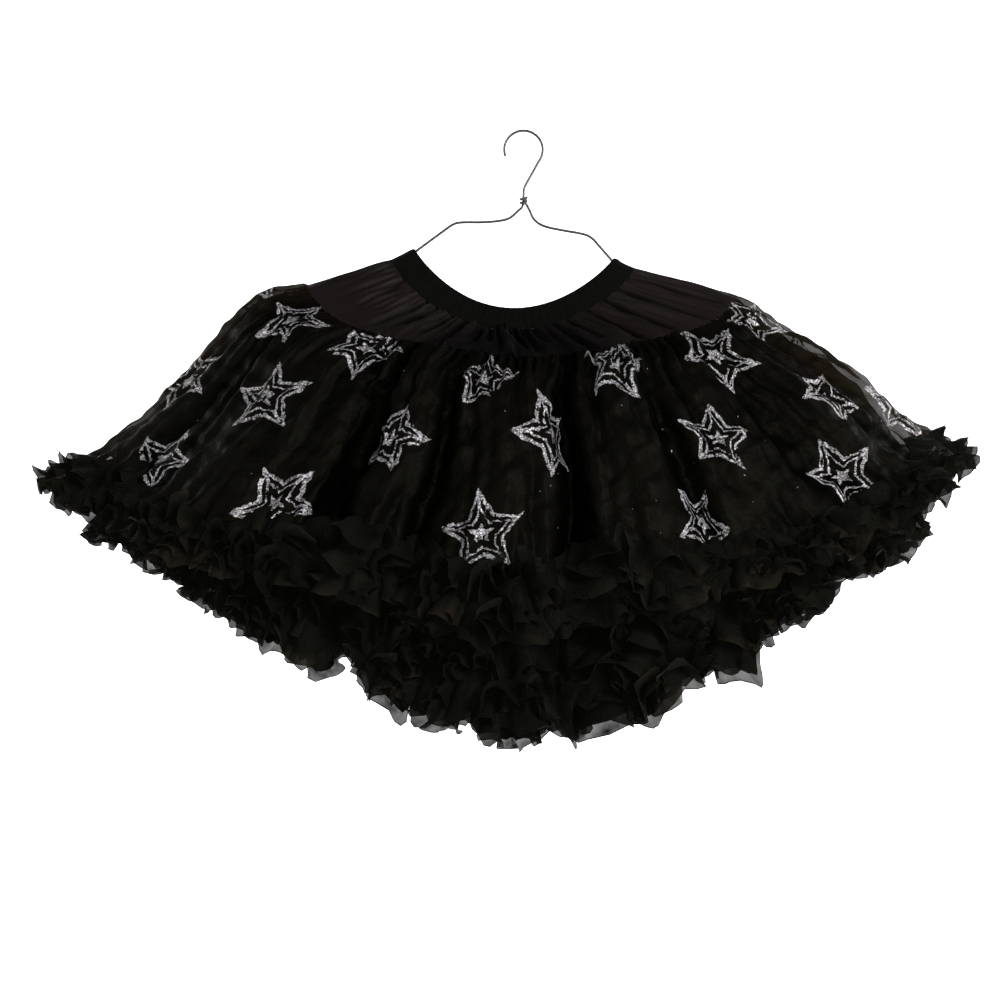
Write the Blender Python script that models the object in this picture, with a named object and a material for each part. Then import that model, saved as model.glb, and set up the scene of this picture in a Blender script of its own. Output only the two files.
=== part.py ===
"""A child's tutu skirt hanging on a wire hanger.

The skirt is seven pieces: an elastic waistband, a satin yoke, a sheer outer tier with
its ruffle, a longer under tier with its ruffle, and the hanger that carries them.
Front faces -Y, up is +Z, and the origin is the inside top of the hanger's hook.
"""
import math
from collections import namedtuple

import bmesh
import bpy
import numpy as np

MM = 0.001

CLOTH_WALL = 1.4 * MM
RUFFLE_WALL = 1.7 * MM
SEAM_GAP = 0.4 * MM
LAYER_GAP = 0.7 * MM

COLUMNS = 144
GATHERS = 36
YOKE_GATHER = 3.2 * MM
RUFFLE_WAVE = 9.0 * MM
UNDER_WAVE = 8.0 * MM
SEAM_WAVE_SHARE = 0.08
CORNER_ROUND = 0.12
UNDER_DROP = 0.03
SLOPE_STEP = 0.02
SHARP_EDGE = 50

WIRE_RADIUS = 1.25 * MM
HOOK_RADIUS = 17.0 * MM
SHANK_TOP = -54.0 * MM
SHANK_FOOT = -71.0 * MM
TWIST_FOOT = -69.0 * MM
TWIST_TURNS = 2
TWIST_PITCH = 3.4 * MM
BAR_Z = -186.0 * MM
BAR_LEFT = -146.0 * MM
BAR_RIGHT = 112.0 * MM
BEND_RADIUS = 10.0 * MM
# Places along each arm, neck to shoulder, as (x, z) in millimetres.
LEFT_ARM = ((-5.4, -75), (-10.5, -80.2), (-17, -83.8), (-36, -86), (-61, -85.6), (-68, -88.2))
RIGHT_ARM = ((6, -75), (9.2, -83), (18, -89.6), (36.9, -93.5), (58.6, -97), (65.5, -101))

# A ring is one seam or fold line, in millimetres: its reach left and right, its half
# depth, its height at the left, right and centre, how steeply it sags from the sides
# to the centre, and the share of each fold's depth that it has.
Ring = namedtuple("Ring", "left right depth z_left z_right z_centre sag folds")

OUTER_RINGS = (
    Ring(-104, 86, 27, -111, -120, -170, 1.75, 0.0),
    Ring(-130, 110, 42, -123, -131, -192, 1.4, 0.0),
    Ring(-206, 204, 104, -146, -150, -217, 0.9, 0.30),
    Ring(-262, 242, 134, -158, -166, -249, 1.1, 0.60),
    Ring(-330, 312, 158, -232, -218, -318, 1.5, 0.85),
    Ring(-400, 370, 172, -300, -280, -380, 1.9, 1.0),
    Ring(-452, 422, 184, -332, -310, -444, 2.0, 1.0),
)
BAND_TOP, BAND_FOOT, YOKE_FOOT, OUTER_TIER_FOOT, OUTER_HEM = 0, 1, 2, 5, 6

UNDER_RINGS = (
    Ring(-204, 202, 102, -150, -154, -226, 0.9, 0.30),
    Ring(-246, 224, 118, -192, -188, -276, 1.2, 0.60),
    Ring(-312, 290, 134, -258, -248, -352, 1.6, 0.85),
    Ring(-370, 345, 144, -326, -326, -446, 2.2, 1.0),
    Ring(-408, 384, 152, -388, -390, -546, 3.1, 1.0),
)
UNDER_TIER_FOOT, UNDER_HEM = 3, 4

# A fold is a soft ridge (depth out) or trough (depth in, negative) running down the
# skirt: its angle round the waist in degrees at the yoke seam and at the hem (0 is
# right, 90 back, 180 left, 270 front), its half width in degrees, its depth in mm and
# how many mm it lets the cloth sink there.
Fold = namedtuple("Fold", "top hem half_width depth sink")

FOLDS = (
    Fold(192, 213, 10.0, -13, 0),
    Fold(216, 230, 11.0, 9, 0),
    Fold(242, 247, 3.6, -34, -6),
    Fold(250, 252, 3.4, 10, 0),
    Fold(257, 258, 3.0, -22, 0),
    Fold(269, 268, 9.0, 17, 6),
    Fold(271, 272, 25.0, 0, 18),
    Fold(282, 278, 3.4, -38, 0),
    Fold(292, 288, 5.0, 12, 6),
    Fold(301, 295, 3.4, -16, 0),
    Fold(308, 319, 6.0, -15, -3),
    Fold(322, 330, 8.0, 9, 0),
    Fold(338, 345, 7.0, -10, 0),
    Fold(22, 28, 9.0, -12, 0),
    Fold(47, 44, 5.0, -20, -4),
    Fold(62, 64, 8.0, 11, 4),
    Fold(79, 77, 3.8, -32, -3),
    Fold(90, 91, 20.0, 0, 12),
    Fold(92, 93, 8.0, 15, 5),
    Fold(105, 108, 4.0, -26, 0),
    Fold(131, 136, 6.0, -19, -4),
    Fold(158, 150, 9.0, -12, 0),
)


def column_angles():
    """Angles of the columns, spaced evenly along the outer hem."""
    hem = OUTER_RINGS[OUTER_HEM]
    half_width = (hem.right - hem.left) / 2
    fine = np.linspace(0.0, 2 * math.pi, 3601)
    speed = np.hypot(half_width * np.sin(fine), hem.depth * np.cos(fine))
    steps = (speed[1:] + speed[:-1]) / 2 * np.diff(fine)
    length = np.concatenate(([0.0], np.cumsum(steps)))
    wanted = np.arange(COLUMNS) / COLUMNS * length[-1]
    return np.interp(wanted, length, fine)


def sag_share(angles, power):
    """0 at the sides and 1 at the centre front and back, rounded at the sides."""
    lifted = np.sqrt(np.sin(angles) ** 2 + CORNER_ROUND ** 2) ** power
    lowest = CORNER_ROUND ** power
    highest = (1 + CORNER_ROUND ** 2) ** (power / 2)
    return (lifted - lowest) / (highest - lowest)


def outward(angles, ring):
    """Unit directions that point straight out of a ring, seen from above."""
    half_width = (ring.right - ring.left) / 2
    x = np.cos(angles) / half_width
    y = np.sin(angles) / ring.depth
    length = np.hypot(x, y)
    return np.stack((x / length, y / length, np.zeros_like(x)), axis=1)


def fold_moves(angles, drop):
    """How far all folds move the cloth out and down, drop 0 at the yoke to 1 at the hem."""
    degrees = np.degrees(angles)
    out = np.zeros_like(angles)
    down = np.zeros_like(angles)
    for fold in FOLDS:
        centre = fold.top + (fold.hem - fold.top) * drop
        away = np.abs((degrees - centre + 180) % 360 - 180)
        near = np.clip(away / fold.half_width, 0, 1)
        swell = (1 + np.cos(math.pi * near)) / 2
        out += fold.depth * swell
        down += fold.sink * swell
    return out, down


def ring_points(ring, angles, drop):
    """Points of one ring in metres, its folds included."""
    middle = (ring.left + ring.right) / 2
    half_width = (ring.right - ring.left) / 2
    side = (1 + np.cos(angles)) / 2
    z_side = ring.z_left + (ring.z_right - ring.z_left) * side
    share = sag_share(angles, ring.sag)
    out, down = fold_moves(angles, drop)
    x = middle + half_width * np.cos(angles)
    y = ring.depth * np.sin(angles)
    z = z_side + (ring.z_centre - z_side) * share - down * ring.folds
    points = np.stack((x, y, z), axis=1)
    return (points + outward(angles, ring) * (out * ring.folds)[:, None]) * MM


def layer_rows(rings, angles):
    """The ring points of a layer, waist to hem."""
    rows = []
    for number, ring in enumerate(rings):
        drop = number / (len(rings) - 1)
        rows.append(ring_points(ring, angles, drop))
    return rows


def between(rows, place):
    """Points at a place between the rings, on a smooth curve through them."""
    last = len(rows) - 1
    low = min(int(place), last - 1)
    t = place - low
    before = rows[low - 1] if low > 0 else 2 * rows[0] - rows[1]
    after = rows[low + 2] if low + 2 <= last else 2 * rows[last] - rows[last - 1]
    start = rows[low]
    end = rows[low + 1]
    slope_in = (end - before) / 2
    slope_out = (after - start) / 2
    return (
        start * (2 * t ** 3 - 3 * t ** 2 + 1)
        + slope_in * (t ** 3 - 2 * t ** 2 + t)
        + end * (3 * t ** 2 - 2 * t ** 3)
        + slope_out * (t ** 3 - t ** 2)
    )


def surface_normals(rows, place):
    """Outward unit normals of a layer at a place between its rings."""
    here = between(rows, place)
    higher = between(rows, max(place - SLOPE_STEP, 0))
    down = between(rows, place + SLOPE_STEP) - higher
    along = np.roll(here, -1, axis=0) - np.roll(here, 1, axis=0)
    normal = np.cross(down, along)
    return normal / np.linalg.norm(normal, axis=1)[:, None]


def seam_share(rows, place):
    """The part of a step between rings that half a seam gap takes up."""
    low = max(place - SLOPE_STEP, 0)
    high = place + SLOPE_STEP
    travel = between(rows, high) - between(rows, low)
    length = np.linalg.norm(travel, axis=1).min() / (high - low)
    return SEAM_GAP / 2 / length


def under_seam(outer_rows):
    """The under tier's top edge, which lies inside the outer tier at the yoke seam."""
    place = YOKE_FOOT + UNDER_DROP
    inset = CLOTH_WALL + LAYER_GAP
    return between(outer_rows, place) - surface_normals(outer_rows, place) * inset


def panel_grids(rows, top, foot, steps, wall, wave=None):
    """Outer and inner points of a panel between two seams."""
    first = top + seam_share(rows, top)
    last = foot - seam_share(rows, foot - SLOPE_STEP)
    places = np.linspace(first, last, steps + 1)
    outer = []
    inner = []
    for place in places:
        points = between(rows, place)
        normals = surface_normals(rows, place)
        if wave is not None:
            fraction = (place - top) / (foot - top)
            points = points + normals * wave(fraction)[:, None]
        outer.append(points)
        inner.append(points - normals * wall)
    return np.array(outer), np.array(inner)


def wall_mesh(name, outer, inner, origin):
    """One closed wall through an outer and an inner grid, round the skirt."""
    mesh = bpy.data.meshes.new(name)
    bm = bmesh.new()
    skins = []
    for grid in (outer, inner):
        skins.append([[bm.verts.new(point - origin) for point in row] for row in grid])
    outside, inside = skins
    rows = len(outside)
    for column in range(COLUMNS):
        following = (column + 1) % COLUMNS
        for row in range(rows - 1):
            for skin in skins:
                bm.faces.new((
                    skin[row][column],
                    skin[row + 1][column],
                    skin[row + 1][following],
                    skin[row][following],
                ))
        for row in (0, rows - 1):
            bm.faces.new((
                outside[row][column],
                outside[row][following],
                inside[row][following],
                inside[row][column],
            ))
    bmesh.ops.recalc_face_normals(bm, faces=bm.faces)
    bm.to_mesh(mesh)
    bm.free()
    mesh.shade_smooth()
    mesh.set_sharp_from_angle(angle=math.radians(SHARP_EDGE))
    return mesh


def cloth_piece(name, grids, material, parent):
    """A cloth piece whose own origin is the middle of its top edge."""
    outer, inner = grids
    origin = outer[0].mean(axis=0)
    piece = bpy.data.objects.new(name, wall_mesh(name, outer, inner, origin))
    piece.location = origin
    piece.data.materials.append(material)
    piece.parent = parent
    bpy.context.collection.objects.link(piece)
    return piece


def make_material(name, colour, roughness, metallic=0.0):
    """A plain Principled material."""
    material = bpy.data.materials.new(name)
    material.use_nodes = True
    shader = material.node_tree.nodes["Principled BSDF"]
    shader.inputs["Base Color"].default_value = (*colour, 1.0)
    shader.inputs["Roughness"].default_value = roughness
    shader.inputs["Metallic"].default_value = metallic
    return material


def uneven(angles, low):
    """A slow change round the skirt between low and 1."""
    swing = (np.sin(5 * angles + 0.6) + np.sin(11 * angles + 2.1) + 2) / 4
    return low + (1 - low) * swing


def make_waistband(rows, parent):
    """Elastic band: a smooth casing that slopes out from its top edge."""
    material = make_material("band_black", (0.012, 0.012, 0.011), 0.7)
    grids = panel_grids(rows, BAND_TOP, BAND_FOOT, 1, CLOTH_WALL)
    return cloth_piece("waistband", grids, material, parent)


def make_yoke(rows, angles, parent):
    """Satin yoke, gathered into the band and flat at its lower seam."""
    material = make_material("yoke_satin", (0.022, 0.018, 0.018), 0.42)
    index = np.arange(COLUMNS)
    gathers = np.cos(2 * math.pi * GATHERS * index / COLUMNS) * uneven(angles, 0.6)

    def wave(fraction):
        share = SEAM_WAVE_SHARE + (1 - SEAM_WAVE_SHARE) * fraction
        return gathers * YOKE_GATHER * math.sin(math.pi * share)

    grids = panel_grids(rows, BAND_FOOT, YOKE_FOOT, 3, CLOTH_WALL, wave)
    return cloth_piece("yoke", grids, material, parent)


def make_tier(name, rows, top, foot, steps, material, parent):
    """A sheer tier that hangs in the skirt's big folds."""
    grids = panel_grids(rows, top, foot, steps, CLOTH_WALL)
    return cloth_piece(name, grids, material, parent)


def make_ruffle(name, rows, top, foot, height, angles, material, parent):
    """A ruffle: one wave to every two columns, deepest at its free edge."""
    index = np.arange(COLUMNS)
    zigzag = np.where(index % 2 == 0, 1.0, -1.0) * uneven(angles, 0.65)

    def wave(fraction):
        share = SEAM_WAVE_SHARE + (1 - SEAM_WAVE_SHARE) * fraction
        return zigzag * height * share

    grids = panel_grids(rows, top, foot, 2, RUFFLE_WALL, wave)
    return cloth_piece(name, grids, material, parent)


def arc(centre, radius, start, end, count):
    """Points on an arc in the hanger's plane, angles in degrees."""
    points = []
    for step in range(count + 1):
        angle = math.radians(start + (end - start) * step / count)
        x = centre[0] + radius * math.cos(angle)
        z = centre[1] + radius * math.sin(angle)
        points.append((x, 0.0, z))
    return points


def hook_points():
    """The hook from its tip, over the rail and down to the straight shank."""
    line = HOOK_RADIUS + WIRE_RADIUS
    turn = arc((0.0, -HOOK_RADIUS), line, 200, -38, 14)
    return turn + [(0.0, 0.0, SHANK_TOP), (0.0, 0.0, SHANK_FOOT)]


def twist_points():
    """The other end of the wire, wound up the shank."""
    wrap = 2 * WIRE_RADIUS + SEAM_GAP
    count = TWIST_TURNS * 9
    points = []
    for step in range(count + 1):
        turns = TWIST_TURNS * step / count
        angle = 2 * math.pi * turns
        height = TWIST_FOOT + TWIST_PITCH * turns
        points.append((wrap * math.cos(angle), -wrap * math.sin(angle), height))
    return points


def arm_points(route, edge, side):
    """One arm from the neck to its seat under the band's corner; side is -1 or 1."""
    points = [(x * MM, 0.0, z * MM) for x, z in route]
    run_x = edge[0] - points[-1][0]
    run_z = edge[2] - points[-1][2]
    length = math.hypot(run_x, run_z)
    clear = (WIRE_RADIUS + SEAM_GAP) / length
    seat = (edge[0] + side * run_z * clear, 0.0, edge[2] - side * run_x * clear)
    return points + [seat]


def band_corner(rows, column):
    """The inner top edge of the waistband at one column."""
    return rows[BAND_TOP][column] - surface_normals(rows, BAND_TOP)[column] * CLOTH_WALL


def make_hanger(rows, parent):
    """One bent wire: hook, shank, left arm, lower bar, right arm, twist."""
    left = arm_points(LEFT_ARM, band_corner(rows, COLUMNS // 2), -1)
    right = arm_points(RIGHT_ARM, band_corner(rows, 0), 1)
    bend_z = BAR_Z + BEND_RADIUS
    left_bend = arc((BAR_LEFT, bend_z), BEND_RADIUS, 139, 270, 5)
    right_bend = arc((BAR_RIGHT, bend_z), BEND_RADIUS, -90, 36, 5)
    path = hook_points() + left + left_bend + right_bend + right[::-1] + twist_points()
    curve = bpy.data.curves.new("hanger", "CURVE")
    curve.dimensions = "3D"
    curve.bevel_depth = WIRE_RADIUS
    curve.bevel_resolution = 2
    curve.use_fill_caps = True
    spline = curve.splines.new("POLY")
    spline.points.add(len(path) - 1)
    for point, place in zip(spline.points, path):
        point.co = (*place, 1.0)
    hanger = bpy.data.objects.new("hanger", curve)
    curve.materials.append(make_material("hanger_wire", (0.16, 0.16, 0.155), 0.35, 0.9))
    hanger.parent = parent
    bpy.context.collection.objects.link(hanger)
    return hanger


def main():
    for thing in list(bpy.data.objects):
        bpy.data.objects.remove(thing, do_unlink=True)
    skirt = bpy.data.objects.new("skirt_on_hanger", None)
    bpy.context.collection.objects.link(skirt)
    angles = column_angles()
    outer_rows = layer_rows(OUTER_RINGS, angles)
    under_rows = layer_rows(UNDER_RINGS, angles)
    under_rows[0] = under_seam(outer_rows)
    organza = make_material("organza_black", (0.020, 0.019, 0.017), 0.55)
    chiffon = make_material("chiffon_black", (0.016, 0.016, 0.015), 0.6)
    make_waistband(outer_rows, skirt)
    make_yoke(outer_rows, angles, skirt)
    make_tier("outer_tier", outer_rows, YOKE_FOOT, OUTER_TIER_FOOT, 5, organza, skirt)
    make_ruffle(
        "outer_ruffle", outer_rows, OUTER_TIER_FOOT, OUTER_HEM, RUFFLE_WAVE, angles,
        chiffon, skirt,
    )
    make_tier("under_tier", under_rows, 0, UNDER_TIER_FOOT, 4, organza, skirt)
    make_ruffle(
        "under_ruffle", under_rows, UNDER_TIER_FOOT, UNDER_HEM, UNDER_WAVE, angles,
        chiffon, skirt,
    )
    make_hanger(outer_rows, skirt)


main()
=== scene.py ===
"""A child's tutu skirt on a wire hanger, dressed in satin, organza and chiffon.

The cloth pieces are thin shells laid on the solids of the frame, and the hanger is a
smoother wire on its solid's route. Front faces -Y and up is +Z.
"""
import math
from collections import namedtuple

import bpy
import numpy as np
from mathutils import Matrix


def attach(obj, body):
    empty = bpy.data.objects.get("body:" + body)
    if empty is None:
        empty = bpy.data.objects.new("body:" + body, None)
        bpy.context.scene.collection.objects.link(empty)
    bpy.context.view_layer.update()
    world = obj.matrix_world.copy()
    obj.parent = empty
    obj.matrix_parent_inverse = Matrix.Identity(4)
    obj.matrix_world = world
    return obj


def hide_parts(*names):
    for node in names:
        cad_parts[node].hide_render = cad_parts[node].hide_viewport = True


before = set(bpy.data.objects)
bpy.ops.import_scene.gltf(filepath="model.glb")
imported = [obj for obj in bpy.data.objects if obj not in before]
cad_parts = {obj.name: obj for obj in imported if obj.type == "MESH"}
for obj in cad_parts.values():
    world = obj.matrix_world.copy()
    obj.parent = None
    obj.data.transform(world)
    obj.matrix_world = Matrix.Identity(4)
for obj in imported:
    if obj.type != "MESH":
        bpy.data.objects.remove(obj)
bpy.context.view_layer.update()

bl_info = {
    "name": "Tutu Skirt",
    "version": (1, 0, 0),
    "blender": (4, 5, 0),
    "location": "View3D > Sidebar > Tutu Skirt",
    "description": "Makes the cloth, the hanger and the stage of a tutu skirt",
    "category": "Object",
}

MM = 0.001
TURN = 2 * math.pi


def table(kind, *rows):
    """Rows of numbers as rows with named columns."""
    return tuple(kind(*row) for row in rows)


# A ring is one seam or fold line, in millimetres: its reach left and right, its half
# depth, its height at the left, right and centre, how steeply it sags from the sides
# to the centre, and the share of each fold's depth that it has.
Ring = namedtuple("Ring", "left right depth z_left z_right z_centre sag folds")

OUTER_RINGS = table(
    Ring,
    (-104, 86, 27, -111, -120, -170, 1.75, 0),
    (-125, 105, 41, -121, -129, -190, 1.4, 0),
    (-206, 203, 104, -146, -156, -217, 0.9, 0.3),
    (-256, 236, 134, -160, -179, -249, 1.1, 0.6),
    (-324, 306, 158, -232, -223, -318, 1.5, 0.85),
    (-400, 370, 172, -300, -280, -380, 1.9, 1),
    (-452, 422, 184, -332, -310, -444, 2, 1),
)
BAND_TOP, BAND_FOOT, YOKE_FOOT, TIER_FOOT, HEM = 0, 1, 2, 5, 6

UNDER_RINGS = table(
    Ring,
    (-204, 202, 102, -150, -154, -226, 0.9, 0.3),
    (-246, 224, 118, -192, -188, -276, 1.2, 0.6),
    (-312, 290, 134, -258, -248, -352, 1.6, 0.85),
    (-370, 345, 144, -326, -326, -446, 2.2, 1),
    (-408, 384, 152, -388, -390, -546, 3.1, 1),
)
UNDER_FOOT, UNDER_HEM = 3, 4
UNDER_INSET = 2.1
CORNER_ROUND = 0.12

# A fold is a soft ridge (depth out) or trough (depth in, negative) running down the
# skirt: its angle round the waist in degrees at the yoke seam and at the hem (0 is
# right, 90 back, 180 left, 270 front), its half width in degrees, its depth in mm and
# how many mm it lets the cloth sink there.
Fold = namedtuple("Fold", "top hem half_width depth sink")

FOLDS = table(
    Fold,
    (192, 213, 10, -13, 0),
    (216, 230, 11, 9, 0),
    (242, 247, 3.6, -34, -6),
    (250, 252, 3.4, 10, 0),
    (257, 258, 3, -22, 0),
    (269, 268, 9, 17, 6),
    (271, 272, 25, 0, 18),
    (282, 278, 3.4, -38, 0),
    (292, 288, 5, 12, 6),
    (301, 295, 3.4, -16, 0),
    (308, 319, 6, -15, -3),
    (322, 330, 8, 9, 0),
    (338, 345, 7, -10, 0),
    (22, 28, 9, -12, 0),
    (47, 44, 5, -20, -4),
    (62, 64, 8, 11, 4),
    (79, 77, 3.8, -32, -3),
    (90, 91, 20, 0, 12),
    (92, 93, 8, 15, 5),
    (105, 108, 4, -26, 0),
    (131, 136, 6, -19, -4),
    (158, 150, 9, -12, 0),
)

# A crease lies in the cloth between the big folds: its angle in degrees where it starts
# and ends, how far down its piece it starts and ends (0 top, 1 foot), its half width in
# degrees at the start and at the end, and its depth in mm, negative for a trough.
Crease = namedtuple("Crease", "angle end_angle start end half_width end_width depth")

YOKE_CREASES = table(
    Crease,
    (186, 188, 0, 0.8, 3, 3.4, -2.6),
    (197, 199, 0.1, 0.9, 3.4, 4, 2.2),
    (207, 211, 0, 0.7, 2.6, 2, -3.4),
    (218, 220, 0, 0.5, 3, 3, 2.6),
    (226, 224, 0, 0.9, 2.4, 2.2, -4.2),
    (232, 229, 0, 0.8, 2.2, 2.6, -4.6),
    (236.5, 234, 0, 0.9, 1.8, 2.4, 3),
    (241, 239, 0, 0.7, 2, 2.2, -4.4),
    (248, 246, 0, 1.3, 2.2, 2.6, -5),
    (252, 251, 0, 0.6, 2, 2, 3),
    (256, 255, 0, 0.9, 2, 2, -4.4),
    (260, 260, 0, 0.7, 1.8, 2, -3.6),
    (265.5, 267, 0, 1.3, 3, 2, 5),
    (270, 272, 0, 0.8, 1.8, 1.8, -4.6),
    (274, 275, 0, 1, 2, 2, -3.8),
    (279, 279, 0, 0.7, 2, 2, -4),
    (284, 284, 0, 0.9, 2.4, 2, 3.2),
    (289, 288, 0, 1.3, 2.2, 2.2, -4.6),
    (296, 294, 0, 0.8, 2.2, 2, -3.4),
    (301.5, 299, 0, 1, 2.8, 2.6, 5),
    (307, 303, 0, 1, 2, 2.4, -5.4),
    (312.5, 309, 0, 1, 2.4, 3, 4.2),
    (318, 315, 0, 1, 2, 3, -5.6),
    (323.5, 322, 0, 1, 2.2, 3.2, 4),
    (329, 329, 0, 1, 2.2, 3.2, -5.2),
    (335, 337, 0, 1, 2.4, 3.4, 3.6),
    (342, 345, 0, 0.9, 2.4, 3, -4.4),
    (351, 353, 0, 0.8, 2.6, 3.4, 3),
)

TIER_CREASES = table(
    Crease,
    (186, 192, 0.05, 0.95, 2.4, 3.6, -4),
    (200, 205, 0.1, 0.8, 2.2, 3.4, 3.6),
    (207, 219, 0.3, 1, 2, 3, -5),
    (222, 224, 0, 0.55, 1.8, 2.6, -3.8),
    (231, 233, 0.2, 1, 2.2, 2.6, 4.4),
    (236.5, 246, 0.02, 0.95, 3, 4, -6.5),
    (246, 249, 0, 0.9, 1.2, 1.8, 4),
    (261, 262, 0, 0.6, 1.2, 1.8, -4.6),
    (264, 265, 0.15, 1, 1.4, 2.2, 3.4),
    (268, 271, 0, 0.45, 1.2, 1.6, -4.4),
    (239, 243, 0, 0.4, 1.8, 2, 3.6),
    (244, 244, 0, 0.3, 1.4, 1.6, -4),
    (250, 251, 0, 0.5, 1.4, 1.8, 4),
    (253.5, 253, 0, 0.35, 1.2, 1.4, -4.2),
    (258, 257, 0, 0.28, 1.4, 1.6, 3.4),
    (278, 277, 0, 0.4, 1.4, 1.8, 3.8),
    (283, 281, 0, 0.3, 1.2, 1.6, -4),
    (291, 288, 0, 0.36, 1.4, 1.8, 3.6),
    (300, 297, 0, 0.45, 1.6, 2.2, 4),
    (309, 308, 0, 0.35, 1.6, 2, -4.2),
    (271, 275, 0, 0.65, 1, 1.6, 4.6),
    (274, 272, 0.35, 1, 1.4, 2.2, -3.6),
    (287, 284, 0, 0.8, 1.2, 1.8, -5),
    (296, 292, 0.1, 0.75, 1.4, 2, 4.6),
    (305, 301, 0, 0.95, 1.4, 2.4, -5),
    (313, 312, 0.05, 1, 1.8, 2.8, 4.6),
    (318, 325, 0, 0.8, 1.8, 2.4, -5.4),
    (330, 338, 0.2, 1, 2, 3, -4.4),
    (346, 352, 0, 0.7, 2.2, 3.4, 3.6),
    (356, 357, 0.25, 1, 2.4, 3.6, -3.4),
)

# A strip is one row of a ruffle: where it is sewn between the ruffle's seam and hem, how
# far it reaches as a share of that height, its number of waves, how many degrees it
# stands out, how much of the full wave it has, and the seed of its unevenness.
Strip = namedtuple("Strip", "start reach waves flare swing seed")

OUTER_STRIPS = table(
    Strip,
    (0, 0.9, 60, 2, 0.8, 11),
    (-0.12, 0.5, 92, 30, 0.9, 12),
    (0.06, 0.48, 84, 22, 0.9, 13),
    (0.24, 0.46, 96, 26, 0.9, 14),
    (0.42, 0.44, 88, 18, 1, 15),
    (0.58, 0.38, 94, 10, 1, 16),
)
UNDER_STRIPS = table(
    Strip,
    (0, 0.84, 58, 0, 0.6, 21),
    (0.28, 0.55, 74, -4, 0.6, 28),
    (-0.08, 0.38, 80, 30, 0.9, 22),
    (0.08, 0.35, 92, 24, 1, 23),
    (0.22, 0.34, 84, 30, 1, 24),
    (0.36, 0.33, 96, 20, 1, 25),
    (0.49, 0.31, 88, 22, 1, 26),
    (0.6, 0.28, 94, 8, 1, 27),
)

# Where the outer ruffle is sewn on: the angle round the skirt in degrees and how far below
# the tier's usual foot, as a share of the ruffle's height.
HemPoint = namedtuple("HemPoint", "angle shift")

HEM_LINE = table(
    HemPoint,
    (0, 0.22), (26, 0.3), (52, 0.06), (84, 0.34), (104, 0.04), (134, 0.3),
    (160, 0.1), (184, 0.24), (208, 0.16), (227, 0.42), (243, 0.12), (256, 0.04),
    (270, 0.12), (281, 0.04), (293, 0.4), (309, 0.62), (326, 0.46), (342, 0.2),
)

# Where the under ruffle's hem is shorter, negative, or longer: the angle and half width in
# degrees and the share of its length.
Trim = namedtuple("Trim", "angle half_width share")

HEM_TRIMS = table(
    Trim,
    (226, 10, -0.1), (248.5, 6, -0.5), (267, 9, -0.2), (284, 9, 0.08), (300, 5, 0.26),
    (313, 8, 0.1), (93, 12, -0.1), (70, 7, -0.16), (118, 8, 0.12),
)

# A star on the outer tier: its angle round the skirt in degrees, how far down the tier
# it lies, its tilt in degrees and its size as a share of the full one.
Star = namedtuple("Star", "angle drop tilt size")

STARS = table(
    Star,
    (206, 0.24, 18, 0.95),
    (233, 0.17, -12, 1),
    (263, 0.24, 8, 0.85),
    (292, 0.2, -20, 1),
    (318, 0.3, 14, 1.05),
    (344, 0.22, -8, 0.9),
    (192, 0.62, -15, 1),
    (222, 0.52, 25, 1),
    (249, 0.6, -6, 0.95),
    (277, 0.5, 16, 1.1),
    (304, 0.58, -24, 0.9),
    (333, 0.62, 5, 1.05),
    (211, 0.9, 10, 1),
    (238, 0.92, -18, 1.05),
    (266, 0.86, 12, 1),
    (296, 0.92, 28, 0.95),
    (320, 0.9, -10, 1),
    (352, 0.84, 20, 0.95),
    (12, 0.5, -16, 1),
    (30, 0.22, 12, 0.95),
    (37, 0.78, 22, 1),
    (56, 0.44, -10, 1.05),
    (72, 0.18, 6, 0.9),
    (66, 0.86, -22, 1),
    (86, 0.56, 14, 1),
    (100, 0.88, -6, 0.95),
    (110, 0.26, 20, 1),
    (121, 0.62, -14, 1.05),
    (139, 0.9, 8, 1),
    (143, 0.34, -24, 0.95),
    (164, 0.66, 18, 1),
    (176, 0.28, -8, 0.9),
)

# Small uneven waves in the cloth: what their seed adds to the piece's own, the fewest and
# most waves round the skirt, their slant, their size in mm and how many are mixed.
Waves = namedtuple("Waves", "seed around slant size terms", defaults=(10,))

BAND_PUCKER = Waves(3, (58, 96), 0.3, 0.35)
YOKE_GATHERS = Waves(5, (70, 120), 1.5, 1.1)
YOKE_SLACK = Waves(6, (10, 34), 2.5, 0.9)
YOKE_FOOT_GATHERS = Waves(7, (80, 120), 0.8, 0.6)
TIER_GATHERS = Waves(0, (88, 132), 0.6, 2.2)
TIER_PUCKER = Waves(1, (44, 110), 0.8, 3.4)
TIER_RIPPLE = Waves(2, (60, 130), 3.0, 0.6, 14)
TIER_SLACK = Waves(3, (14, 40), 1.2, 2.2)
STRIP_GATHERS = Waves(200, (110, 180), 0.4, 0.8)

# Crumples: about how far apart they are and their size, both in mm, and their seed's share.
Crumple = namedtuple("Crumple", "length size seed")

TIER_CRUMPLES = table(Crumple, (30, 2.0, 4), (14, 0.7, 5))
STRIP_CRUMPLES = table(Crumple, (34, 3.6, 300), (13, 1.5, 400))

# Camera and room, in metres but for the sensor, which is in millimetres. The room's light
# is a strength for each height of the view direction, from straight down -1 to up 1.
CAMERA_X = -22.3 * MM
CAMERA_Z = -349.6 * MM
CAMERA_DISTANCE = 1.6
FRAME_WIDTH = 0.95
SENSOR_WIDTH = 36.0
ROOM_RADIUS = 3.6
ROOM_HEIGHT = 5.6
ROOM_MIDDLE = -0.4
ROOM_COVE = 0.8
ROOM_GLOW = 1.0
ROOM_LIGHT = ((-0.35, 0.98), (-0.05, 0.62), (0.05, 0.72), (0.25, 0.72), (0.60, 0.10))

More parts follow.
